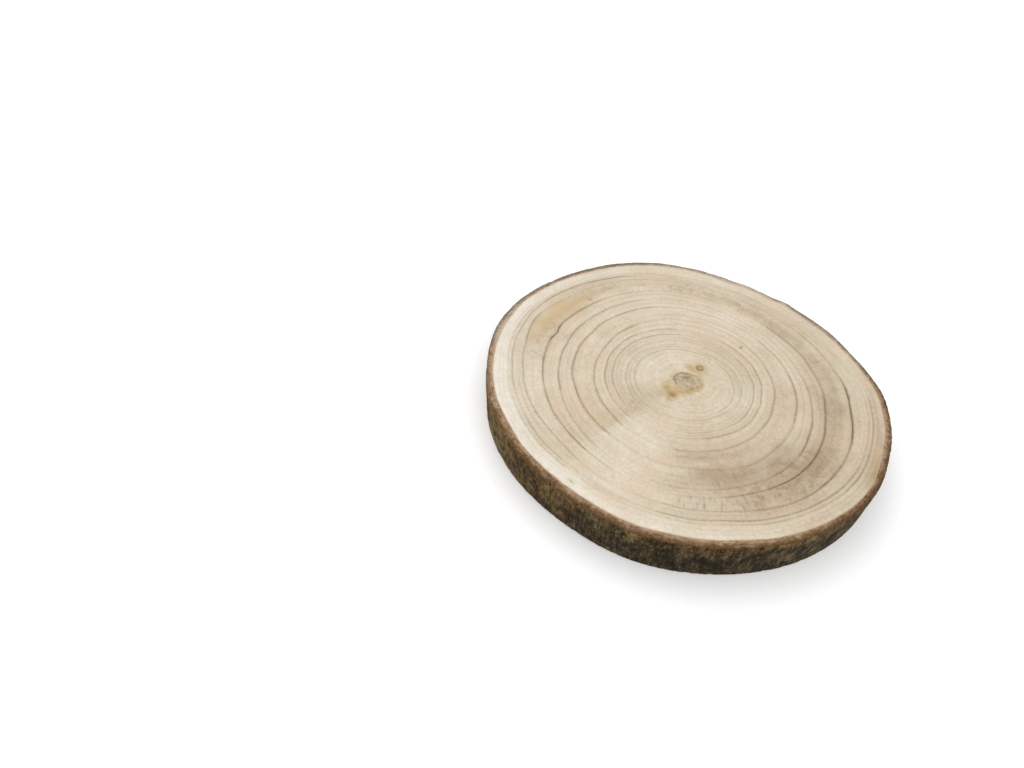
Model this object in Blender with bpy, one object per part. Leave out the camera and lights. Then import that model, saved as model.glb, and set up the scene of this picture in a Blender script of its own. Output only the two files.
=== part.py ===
# Wood slice: one round sawn across a trunk, with its bark still on, lying on its lower cut face.
# Metres, +Z up. The origin is in the middle of the lower face, and +X runs along the longest diameter.

import math

import bmesh
import bpy
import numpy as np

# Driving dimensions
THICKNESS = 0.0362
MEAN_RADIUS = 0.1506
# Waves that make the outline: how many lobes, how far they stand out, and the direction of the first
OUTLINE_WAVES = (
    (2, 0.0075, 0.0),
    (3, 0.0008, 16.5),
    (4, 0.0007, 26.5),
    (5, 0.0004, -13.0),
    (6, 0.0004, -2.0),
    (7, 0.0004, -24.0),
)
# Local dents and swellings of the outline: the direction, how many degrees it spreads, and its size
OUTLINE_DENTS = (
    (6.0, 8.0, -0.0012),
    (30.0, 7.0, 0.0014),
    (47.0, 8.0, -0.0008),
    (58.0, 5.0, 0.0005),
    (75.5, 3.0, 0.0014),
    (80.5, 2.5, -0.0006),
    (91.0, 3.0, 0.0008),
    (112.0, 10.0, 0.0004),
    (185.0, 14.0, 0.0002),
    (208.0, 9.0, -0.0012),
    (255.0, 16.0, 0.0009),
    (280.0, 12.0, 0.0004),
    (340.0, 12.0, -0.0008),
)
# The bark is thickest on one side of the trunk and thinnest opposite
BARK_MEAN = 0.0057
BARK_SWING = 0.0014
BARK_THICK_SIDE = 228.0
# The pith lies off the middle
PITH_X = 0.0063
PITH_Y = 0.0029

# Growth rings that show from a step away: the mean radius from the pith, how far the ring leans to
# one side and which side, how far it is drawn out to an oval and along which direction
RINGS = (
    (0.0106, 0.0015, -60.0, 0.0010, 40.0),
    (0.0595, 0.0031, -153.0, 0.0009, 38.0),
    (0.0700, 0.0021, -169.0, 0.0016, -83.0),
    (0.0855, 0.0017, -173.0, 0.0013, -66.0),
    (0.0980, 0.0035, -87.0, 0.0034, -67.0),
    (0.1080, 0.0018, -123.0, 0.0020, -70.0),
    (0.1235, 0.0024, 100.0, 0.0008, -41.0),
)
LOWER_RINGS = (RINGS[3], RINGS[5], RINGS[6])
# Rings are round near the pith and follow the outline's waves near the bark: the share of the mean
# wood radius where they begin to follow them, and where they follow fully. Dents reach less far in
ROUND_UNTIL = 0.15
FOLLOWS_FROM = 0.95
DENTS_FROM = 0.80

# Late wood is sunk a little as a groove along each ring, and so is the line between wood and bark
GROOVE_DEPTH = 0.0006
GROOVE_HALF_WIDTH = 0.0008

# The bark's outer face: low upright plates with furrows between, and worn edges. The furrows drift
# sideways round the trunk and with height, and fade in slanting patches
FURROW_DEPTH = 0.0014
FURROWS_ROUND = 40
DRIFT = 0.9
DRIFT_LOBES = 5
LEAN = 0.5
LEAN_LOBES = 3
LEAN_PER_METRE = 150.0
PATCHES = 0.45
PATCH_LOBES = 9
PATCH_PER_METRE = 210.0
WORN_EDGE = 0.0009
WALL_STEPS = 8

# Points round every loop of the mesh, and in the fine outline that its middle is taken from
COLUMNS = 120
FINE_COLUMNS = 1440

WOOD_COLOUR = (0.76, 0.67, 0.54, 1.0)
BARK_COLOUR = (0.095, 0.072, 0.050, 1.0)


def waved_radius(angle):
    """Mean radius plus each wave: size * cos(lobes * (angle - direction))."""
    radius = np.full_like(angle, MEAN_RADIUS)
    for lobes, size, direction in OUTLINE_WAVES:
        radius += size * np.cos(lobes * (angle - math.radians(direction)))
    return radius


def dent_height(angle):
    """Sum of size * exp(-(turn / spread)^2) over the dents, where turn is the angle from each."""
    height = np.zeros_like(angle)
    for direction, spread, size in OUTLINE_DENTS:
        turn = (angle - math.radians(direction) + math.pi) % (2.0 * math.pi) - math.pi
        height += size * np.exp(-((turn / math.radians(spread)) ** 2))
    return height


def outline_radius(angle):
    return waved_radius(angle) + dent_height(angle)


def round_the_middle(radius, angle):
    """Points at a radius from the outline's own middle."""
    return np.column_stack([radius * np.cos(angle), radius * np.sin(angle)])


def outline_middle():
    """The centre of the outline's bounding box, which becomes the origin."""
    angle = np.linspace(0.0, 2.0 * math.pi, FINE_COLUMNS, endpoint=False)
    points = round_the_middle(outline_radius(angle), angle)
    return (points.min(axis=0) + points.max(axis=0)) / 2.0


def smooth_step(value, low, high):
    share = np.clip((value - low) / (high - low), 0.0, 1.0)
    return share * share * (3.0 - 2.0 * share)


ANGLE = np.linspace(0.0, 2.0 * math.pi, COLUMNS, endpoint=False)
MIDDLE = outline_middle()
PITH = np.array([PITH_X, PITH_Y]) - MIDDLE
DENTS = dent_height(ANGLE)
# From the pith to where the wood would end under bark of the mean thickness and without dents: how
# far, and which way
FROM_PITH = round_the_middle(waved_radius(ANGLE) - BARK_MEAN, ANGLE) - MIDDLE - PITH
EDGE_DISTANCE = np.linalg.norm(FROM_PITH, axis=1)
EDGE_DIRECTION = FROM_PITH / EDGE_DISTANCE[:, None]
EDGE_ANGLE = np.arctan2(EDGE_DIRECTION[:, 1], EDGE_DIRECTION[:, 0])
MEAN_DISTANCE = EDGE_DISTANCE.mean()
# The wood's own edge is the last ring, which leans away from the side where the bark is thickest
WOOD_EDGE = (MEAN_DISTANCE, -BARK_SWING, BARK_THICK_SIDE, 0.0, 0.0)


def ring_loop(ring, beside):
    """A ring's points, or a line a little inside or outside it, between the pith and the wood's edge."""
    mean, lean, lean_side, oval, oval_side = ring
    share = mean / MEAN_DISTANCE
    radius = mean + beside
    radius += lean * np.cos(EDGE_ANGLE - math.radians(lean_side))
    radius += oval * np.cos(2.0 * (EDGE_ANGLE - math.radians(oval_side)))
    follows = smooth_step(share, ROUND_UNTIL, FOLLOWS_FROM)
    radius *= 1.0 + follows * (EDGE_DISTANCE / MEAN_DISTANCE - 1.0)
    radius += smooth_step(share, DENTS_FROM, 1.0) * DENTS
    return PITH + radius[:, None] * EDGE_DIRECTION


def face_loops(rings, level, inwards):
    """Loops of one cut face from the pith out; inwards is -1 where the grooves go down, 1 where up."""
    groove = ((-GROOVE_HALF_WIDTH, 0.0), (0.0, GROOVE_DEPTH), (GROOVE_HALF_WIDTH, 0.0))
    loops = []
    for ring in (*rings, WOOD_EDGE):
        loops += [(ring_loop(ring, beside), level + inwards * depth) for beside, depth in groove]
    return loops


def furrow_depth(height):
    """Furrows round the wall at a height: depth * (1 - |sin of the turn|) * a slow wave."""
    turn = FURROWS_ROUND / 2.0 * ANGLE
    turn += DRIFT * np.sin(DRIFT_LOBES * ANGLE)
    turn += LEAN * np.sin(LEAN_LOBES * ANGLE + LEAN_PER_METRE * height)
    slow_wave = 1.0 - PATCHES + PATCHES * np.sin(PATCH_LOBES * ANGLE + PATCH_PER_METRE * height)
    return FURROW_DEPTH * (1.0 - np.abs(np.sin(turn))) * slow_wave


def wall_loops():
    """Loops of the bark's outer face from the upper edge down, drawn in at both worn edges."""
    between = np.linspace(THICKNESS - WORN_EDGE, WORN_EDGE, WALL_STEPS - 1)
    heights = [THICKNESS, *between, 0.0]
    drawn_in = [WORN_EDGE, *np.zeros(len(between)), WORN_EDGE]
    loops = []
    for height, edge in zip(heights, drawn_in):
        radius = outline_radius(ANGLE) - furrow_depth(height) - edge
        loops.append((round_the_middle(radius, ANGLE) - MIDDLE, height))
    return loops


def material(name, colour, roughness):
    made = bpy.data.materials.new(name)
    made.use_nodes = True
    shader = made.node_tree.nodes["Principled BSDF"]
    shader.inputs["Base Color"].default_value = colour
    shader.inputs["Roughness"].default_value = roughness
    shader.inputs["Metallic"].default_value = 0.0
    return made


def add_loop(mesh, points, height):
    return [mesh.verts.new((x, y, height)) for x, y in points]


def join_loops(mesh, first, second, slot):
    """Faces between two loops; slot is the material that they take."""
    for here in range(COLUMNS):
        after = (here + 1) % COLUMNS
        face = mesh.faces.new((first[here], second[here], second[after], first[after]))
        face.material_index = slot


def close_at_pith(mesh, loop, height, upwards):
    """A fan from the pith to the innermost loop."""
    centre = mesh.verts.new((PITH[0], PITH[1], height))
    for here in range(COLUMNS):
        after = (here + 1) % COLUMNS
        ends = (loop[here], loop[after]) if upwards else (loop[after], loop[here])
        mesh.faces.new((centre, *ends))


def wood_slice():
    """One closed body: the upper cut face, the bark round it, then the lower cut face."""
    upper = face_loops(RINGS, THICKNESS, -1.0)
    lower = face_loops(LOWER_RINGS, 0.0, 1.0)[::-1]
    wall = wall_loops()
    mesh = bmesh.new()
    loops = [add_loop(mesh, points, height) for points, height in upper + wall + lower]
    wood_until = len(upper) - 2  # the groove's outer side, the rims and the wall are bark
    wood_again = len(upper) + len(wall) + 1
    for place in range(len(loops) - 1):
        slot = 1 if wood_until <= place < wood_again else 0
        join_loops(mesh, loops[place], loops[place + 1], slot)
    close_at_pith(mesh, loops[0], THICKNESS, True)
    close_at_pith(mesh, loops[-1], 0.0, False)
    data = bpy.data.meshes.new("wood_slice")
    mesh.to_mesh(data)
    mesh.free()
    data.shade_smooth()
    data.set_sharp_from_angle(angle=math.radians(20.0))
    data.materials.append(material("wood", WOOD_COLOUR, 0.62))
    data.materials.append(material("bark", BARK_COLOUR, 0.92))
    piece = bpy.data.objects.new("wood_slice", data)
    bpy.context.scene.collection.objects.link(piece)
    return piece


for leftover in list(bpy.data.objects):
    bpy.data.objects.remove(leftover, do_unlink=True)

wood_slice()
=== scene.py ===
import math

import bpy
import numpy as np
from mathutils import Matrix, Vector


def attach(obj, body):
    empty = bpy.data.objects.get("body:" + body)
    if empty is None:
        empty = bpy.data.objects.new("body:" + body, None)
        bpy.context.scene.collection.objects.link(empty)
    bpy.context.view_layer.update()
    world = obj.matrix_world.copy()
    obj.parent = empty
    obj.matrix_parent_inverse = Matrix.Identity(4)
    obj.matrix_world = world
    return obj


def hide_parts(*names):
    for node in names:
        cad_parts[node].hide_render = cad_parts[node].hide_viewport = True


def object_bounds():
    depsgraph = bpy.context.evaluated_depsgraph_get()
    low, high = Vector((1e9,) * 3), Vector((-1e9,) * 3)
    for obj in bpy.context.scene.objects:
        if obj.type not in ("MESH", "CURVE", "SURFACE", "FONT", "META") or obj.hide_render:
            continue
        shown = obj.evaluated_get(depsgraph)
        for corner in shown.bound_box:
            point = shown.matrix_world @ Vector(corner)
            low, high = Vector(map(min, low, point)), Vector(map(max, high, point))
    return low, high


# A round slice sawn across a light, fast-grown trunk: pale wood with its growth rings, and its bark

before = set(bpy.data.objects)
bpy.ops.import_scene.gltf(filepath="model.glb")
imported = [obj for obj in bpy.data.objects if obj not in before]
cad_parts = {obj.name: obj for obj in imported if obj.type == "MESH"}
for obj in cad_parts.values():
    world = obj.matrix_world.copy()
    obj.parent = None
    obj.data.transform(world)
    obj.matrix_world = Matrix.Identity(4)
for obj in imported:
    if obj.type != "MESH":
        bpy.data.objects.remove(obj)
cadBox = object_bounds()
thickness = cadBox[1].z
mm = 0.001
print("frame loaded: the slice is", round(thickness / mm, 1), "mm thick")

# The trunk's section, in metres and degrees, with the same values as the frame's solid
trunk = {
    "meanRadius": 0.1506,
    "waves": [  # lobes, how far they stand out, direction
        (2, 0.0075, 0.0), (3, 0.0008, 16.5), (4, 0.0007, 26.5),
        (5, 0.0004, -13.0), (6, 0.0004, -2.0), (7, 0.0004, -24.0),
    ],
    "dents": [  # direction, spread, how far it stands out
        (6.0, 8.0, -0.0012), (30.0, 7.0, 0.0014), (47.0, 8.0, -0.0008),
        (58.0, 5.0, 0.0005), (75.5, 3.0, 0.0014), (80.5, 2.5, -0.0006),
        (91.0, 3.0, 0.0008), (112.0, 10.0, 0.0004), (185.0, 14.0, 0.0002),
        (208.0, 9.0, -0.0012), (255.0, 16.0, 0.0009), (280.0, 12.0, 0.0004),
        (340.0, 12.0, -0.0008),
    ],
    "barkMean": 0.0057,
    "barkSwing": 0.0014,
    "barkThickSide": 228.0,
    "pith": (0.0063, 0.0029),
    "roundUntil": 0.15,  # shares of the mean wood radius: rings are round inside this,
    "followsFrom": 0.95,  # follow the outline's waves outside this,
    "dentsFrom": 0.80,  # and take up its dents from here on
}


def turnFrom(angle, direction):
    # the angle from a direction, in degrees between -180 and 180
    return (np.degrees(angle) - direction + 180.0) % 360.0 - 180.0


def smoothStep(value, low, high):
    # s^2 (3 - 2 s), where s runs from 0 at low to 1 at high
    share = np.clip((value - low) / (high - low), 0.0, 1.0)
    return share * share * (3.0 - 2.0 * share)


def wavedRadius(angle):
    # mean radius + sum of size cos(lobes (angle - direction))
    radius = np.full_like(angle, trunk["meanRadius"])
    for lobes, size, direction in trunk["waves"]:
        radius += size * np.cos(lobes * (angle - math.radians(direction)))
    return radius


def swellings(angle, rows):
    # sum of size exp(-(turn / spread)^2) over rows of direction, spread and size
    height = np.zeros_like(angle)
    for direction, spread, size in rows:
        height += size * np.exp(-(turnFrom(angle, direction) / spread) ** 2)
    return height


def polarPoints(radius, angle):
    # radius (cos angle, sin angle)
    return np.stack([radius * np.cos(angle), radius * np.sin(angle)], axis=-1)


def trunkSection(columns):
    # one value for each column: its angle round the outline, its way from the pith outwards, how far the
    # wood would reach that way under bark of the mean thickness, its angle round the pith, and its dent
    fineAngle = np.linspace(0.0, 2.0 * math.pi, 1440, endpoint=False)
    fineRadius = wavedRadius(fineAngle) + swellings(fineAngle, trunk["dents"])
    finePoints = polarPoints(fineRadius, fineAngle)
    middle = (finePoints.min(axis=0) + finePoints.max(axis=0)) / 2.0
    angle = np.linspace(0.0, 2.0 * math.pi, columns, endpoint=False)
    pith = np.array(trunk["pith"]) - middle
    way = polarPoints(wavedRadius(angle) - trunk["barkMean"], angle) - middle - pith
    distance = np.hypot(way[:, 0], way[:, 1])
    way /= distance[:, None]
    return {
        "middle": middle,
        "pith": pith,
        "angle": angle,
        "way": way,
        "distance": distance,
        "meanDistance": distance.mean(),
        "round": np.arctan2(way[:, 1], way[:, 0]),
        "dents": swellings(angle, trunk["dents"]),
    }


def bandNoise(turn, height, cells, rows, seed):
    # smooth random numbers, -1 to 1, on a band that closes on itself: cells round it and rows up it,
    # blended between the corners of each cell with f^2 (3 - 2 f)
    corners = np.random.default_rng(seed).uniform(-1.0, 1.0, (rows + 2, cells))
    across = (turn % 1.0) * cells
    up = np.clip(height, 0.0, 1.0) * rows
    i = np.floor(across).astype(int) % cells
    j = np.floor(up).astype(int)
    f = smoothStep(across - np.floor(across), 0.0, 1.0)
    g = smoothStep(up - j, 0.0, 1.0)
    after = (i + 1) % cells
    low = corners[j, i] * (1.0 - f) + corners[j, after] * f
    high = corners[j + 1, i] * (1.0 - f) + corners[j + 1, after] * f
    return low * (1.0 - g) + high * g


def lineNoise(turn, cells, seed):
    # the same along a single line round the trunk
    return bandNoise(turn, 0.0 * turn, cells, 1, seed)


def window(angle, start, end, soft):
    # 1 between two directions, falling to 0 over soft degrees outside them
    half = (end - start) / 2.0
    return 1.0 - smoothStep(np.abs(turnFrom(angle, start + half)), half, half + soft)


def band(mean, inner, outer, soft):
    # 1 between two radii, falling to 0 over soft millimetres outside them
    return smoothStep(mean, inner - soft, inner) * (1.0 - smoothStep(mean, outer, outer + soft))


# Growth rings, in millimetres from the pith and degrees
rings = {
    "columns": 420,
    "shape": [  # mean radius, lean and its side, oval and its direction
        (10.4, 1.9, -32, 1.2, 0), (37.0, 3.3, -120, 1.5, 15), (43.0, 4.0, -120, 1.4, 25),
        (53.5, 3.6, -145, 0.9, 27), (59.5, 3.1, -153, 0.9, 38), (70.0, 2.1, -169, 1.6, -83),
        (85.5, 1.7, -173, 1.3, -66), (98.0, 3.5, -87, 3.4, -67), (108.0, 1.8, -123, 2.0, -70),
        (123.5, 2.4, 100, 0.8, -41), (131.5, 2.2, 55, 1.3, 29), (134.5, 2.1, 57, 1.3, 19),
    ],
    "jogs": [  # mean radius, direction, spread in degrees, spread across, size
        (108.0, 187, 2.4, 3.5, -1.9), (108.0, 14, 9.0, 3.5, -1.6), (108.0, 53, 9.0, 3.5, 1.6),
        (98.0, 190, 5.0, 3.0, -0.6), (98.0, 60, 12.0, 3.0, 1.0), (85.5, 324, 15.0, 4.0, 2.0),
        (85.5, 178, 9.0, 3.5, -1.2), (85.5, 208, 9.0, 3.5, 1.1), (131.5, 124, 12.0, 4.0, -4.2),
        (131.5, 228, 12.0, 4.0, -1.8), (131.5, 168, 18.0, 4.0, 2.0), (123.5, 240, 12.0, 4.0, -1.8),
        (123.5, 184, 9.0, 4.0, 3.0), (123.5, 22, 9.0, 3.5, -1.5), (123.5, 330, 10.0, 3.5, 1.2),
        (123.5, 266, 10.0, 3.5, 1.6), (123.5, 128, 9.0, 4.0, -2.0), (70.0, 12, 8.0, 6.0, -0.8),
        (70.0, 182, 10.0, 4.0, -0.9), (70.0, 222, 12.0, 4.0, 0.8), (59.5, 15, 12.0, 5.0, -0.6),
    ],
    "edgeJogs": [  # the same for the wood's edge: direction, spread, size
        (8, 14.0, -0.9), (28, 11.0, -1.0), (65, 13.0, -1.4), (100, 6.0, -1.6),
        (163, 12.0, 1.1), (180, 8.0, 0.8), (187, 5.0, -0.4), (200, 14.0, 0.5),
        (207, 8.0, 1.0), (213, 6.0, 0.6), (232, 6.0, -0.8), (279, 6.0, 0.5),
        (292, 5.0, -0.8), (310, 7.0, -0.7),
    ],
    "wobble": 0.60,
    "lines": [  # mean radius, darkness all round, then stretches: start, end, darkness
        (37.0, 0.12, [(-18, 68, 0.34), (82, 172, 0.42), (172, 234, 0.40)]),
        (43.0, 0.12, [(-8, 66, 0.36), (130, 180, 0.26), (180, 236, 0.36)]),
        (53.5, 0.26, [(-30, 62, 0.52), (125, 180, 0.50), (180, 238, 0.56), (296, 330, 0.40)]),
        (59.5, 0.26, [(-48, 52, 0.62), (52, 84, 0.52), (128, 160, 0.48), (160, 222, 0.74),
                      (222, 250, 0.38)]),
        (70.0, 0.26, [(-45, -8, 0.48), (-8, 52, 0.62), (52, 84, 0.44), (156, 251, 0.66),
                      (290, 320, 0.38)]),
        (85.5, 0.28, [(-35, 8, 0.48), (8, 38, 0.78), (38, 68, 0.52), (138, 156, 0.7),
                      (158, 251, 0.74), (275, 300, 0.36)]),
        (98.0, 0.28, [(-50, -22, 0.50), (-22, -8, 0.42), (-8, 8, 1.0), (12, 34, 0.56),
                      (34, 66, 0.36), (142, 158, 0.52), (160, 220, 0.70), (220, 252, 0.5)]),
        (108.0, 0.22, [(-48, -32, 0.72), (-32, -6, 1.15), (-6, 24, 1.05), (24, 72, 0.66),
                       (134, 158, 0.34), (160, 262, 0.68), (246, 262, 0.9)]),
        (123.5, 0.34, [(-38, -14, 0.66), (-16, 38, 0.88), (38, 60, 0.56), (60, 88, 0.34),
                       (183, 194, 0.70), (186, 252, 0.50), (282, 322, 0.46)]),
        (131.5, 0.26, [(-72, -50, 0.56), (-50, -5, 0.70), (-5, 26, 0.34), (140, 172, 0.84),
                       (172, 216, 0.50), (234, 250, 0.56)]),
        (134.5, 0.22, [(-50, -12, 0.40), (-12, 24, 0.62), (85, 96, 0.36), (172, 196, 0.34),
                       (233, 262, 0.30)]),
        (138.4, 0.12, [(-20, 26, 0.24), (150, 185, 0.22)]),
    ],
    "lineHalfWidth": 0.78,
    "faintLines": [  # mean radius, darkness
        (20.0, 0.10), (25.0, 0.15), (28.4, 0.10), (32.6, 0.20), (40.3, 0.30),
        (47.0, 0.26), (50.3, 0.26), (56.6, 0.22), (64.5, 0.22), (76.0, 0.14), (91.5, 0.26),
        (94.5, 0.16), (103.5, 0.20), (116.0, 0.10), (127.0, 0.22), (129.3, 0.14), (141.0, 0.12),
    ],
    "faintHalfWidth": 0.8,
    "faded": (256, 286, 0.50),  # the sector whose lines nearly vanish, and by how much
    "splits": [  # where a line has opened: its mean radius, start, end, darkness
        (123.5, 9, 32, 0.50), (108.0, 182.5, 190.5, 0.66), (108.0, 203, 215, 0.34),
        (108.0, 170, 178, 0.22), (108.0, 57, 62, 0.12), (108.0, -28, -6, 0.30),
        (70.0, 157, 167, 0.22), (98.0, -26, -18, 0.24), (123.5, -24, -13, 0.20),
    ],
    "splitHalfWidth": 0.34,
    "lineFade": 9.0,  # degrees over which a stretch fades out at its ends
    "lateReach": 2.6,  # millimetres over which the late wood pales inwards of a line
    "earlyReach": 2.4,  # and over which the pores thin out beyond it
    "depths": {"lineDark": 0.22, "split": 0.60, "pith": 0.50, "pithLine": 0.25, "specks": 0.45},
    "sawDepth": 0.05,
    "nearPith": 25.0,
    "upperRows": {  # rows beside each line and each faint one, and the widest gaps, also near the pith
        "lineSteps": (-1.1, -0.45, 0.0, 0.45, 1.1),
        "faintSteps": (-0.8, 0.0, 0.8),
        "widest": 2.2,
        "widestNearPith": 0.85,
    },
    "lowerRows": {
        "lineSteps": (-0.7, 0.0, 0.7),
        "faintSteps": (0.0,),
        "widest": 4.5,
        "widestNearPith": 1.6,
    },
}

woodSection = trunkSection(rings["columns"])
edgeMean = woodSection["meanDistance"] / mm


def ringWaves(mean, angle):
    # lean cos(angle - side) + oval cos(2 (angle - direction)), with both blended between the rings;
    # the wood's own edge leans away from the side where the bark is thickest
    knots = [0.0] + [shape[0] for shape in rings["shape"]] + [edgeMean]
    edge = (edgeMean, -trunk["barkSwing"] / mm, trunk["barkThickSide"], 0.0, 0.0)
    shapes = [(0.0,) * 5, *rings["shape"], edge]
    waves = np.zeros(np.broadcast(mean, angle).shape)
    for lobes, place in ((1, 1), (2, 3)):
        size = np.array([shape[place] for shape in shapes])
        side = lobes * np.radians([shape[place + 1] for shape in shapes])
        waves += np.interp(mean, knots, size * np.cos(side)) * np.cos(lobes * angle)
        waves += np.interp(mean, knots, size * np.sin(side)) * np.sin(lobes * angle)
    edgeJogs = [(edgeMean, direction, spread, 2.0, size) for direction, spread, size in rings["edgeJogs"]]
    for at, direction, spread, across, size in rings["jogs"] + edgeJogs:
        waves += size * np.exp(-(turnFrom(angle, direction) / spread) ** 2 - ((mean - at) / across) ** 2)
    return waves


def ringDistance(mean, section):
    # (mean + waves + wobble) (1 + follows (edge / mean edge - 1)) + dents, in millimetres
    angle = section["round"]
    share = mean / edgeMean
    settled = smoothStep(share, 0.04, 0.18) * (1.0 - 0.6 * smoothStep(share, 0.95, 1.0))
    wobble = 0.7 * bandNoise(angle / (2.0 * math.pi), share, 34, 10, 4)
    wobble = wobble + 0.3 * bandNoise(angle / (2.0 * math.pi), share, 110, 30, 5)
    reach = mean + ringWaves(mean, angle) + rings["wobble"] * settled * wobble
    follows = smoothStep(share, trunk["roundUntil"], trunk["followsFrom"])
    reach = reach * (1.0 + follows * (section["distance"] / section["meanDistance"] - 1.0))
    return reach + smoothStep(share, trunk["dentsFrom"], 1.0) * section["dents"] / mm


def ringRows(spacing):
    # rows of points close beside every line, then more of them wherever a gap is wide
    rows = {line[0] + step for line in rings["lines"] for step in spacing["lineSteps"]}
    rows |= {line[0] + step for line in rings["faintLines"] for step in spacing["faintSteps"]}
    rows |= {3.0, 6.0, 8.6, 9.8, 10.6, 11.4, edgeMean - 1.2, edgeMean - 0.4, edgeMean}
    rows = sorted(rows)
    filled = []
    for row, after in zip(rows, rows[1:]):
        widest = spacing["widestNearPith" if row < rings["nearPith"] else "widest"]
        pieces = max(1, math.ceil((after - row) / widest))
        filled += [row + (after - row) * piece / pieces for piece in range(pieces)]
    return np.array(filled + [rows[-1]])[:, None]


def lineMasks(mean, angle):
    # dark: darkness exp(-(d / width)^2) beside each line; late: the wood just inside it, exp(-d / reach);
    # early: the pores just outside it, exp(-d / reach); split: where a line has opened
    turn = angle / (2.0 * math.pi)
    dark, late, early, split = np.zeros((4, *np.broadcast(mean, angle).shape))
    start, end, faded = rings["faded"]
    kept = 1.0 - faded * window(angle, start, end, 3.0)
    for number, (at, everywhere, stretches) in enumerate(rings["lines"]):
        strength = np.full_like(angle, everywhere)
        for start, end, darkness in stretches:
            strength = np.maximum(strength, darkness * window(angle, start, end, rings["lineFade"]))
        uneven = lineNoise(turn, 48, 80 + number) + 0.5 * lineNoise(turn, 130, 95 + number)
        strength = strength * kept * (1.0 + 0.16 * uneven)
        beside = mean - at
        dark = np.maximum(dark, strength * np.exp(-(beside / rings["lineHalfWidth"]) ** 2))
        inside = np.exp(np.minimum(beside, 0.0) / rings["lateReach"]) * (beside <= 0.0)
        outside = np.exp(-np.maximum(beside, 0.0) / rings["earlyReach"]) * (beside >= 0.0)
        late = np.maximum(late, strength * inside)
        early = np.maximum(early, strength * outside)
    for number, (at, darkness) in enumerate(rings["faintLines"]):
        patchy = 0.5 + 0.5 * lineNoise(turn, 13, 40 + number)
        strength = darkness * kept * (0.45 + 0.9 * patchy)
        dark = np.maximum(dark, strength * np.exp(-((mean - at) / rings["faintHalfWidth"]) ** 2))
        late = np.maximum(late, 0.6 * strength * np.exp(np.minimum(mean - at, 0.0) / 1.6) * (mean <= at))
    for at, start, end, darkness in rings["splits"]:
        along = darkness * window(angle, start, end, 3.5)
        split = np.maximum(split, along * np.exp(-((mean - at) / rings["splitHalfWidth"]) ** 2))
    return dark, late, early, split


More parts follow.
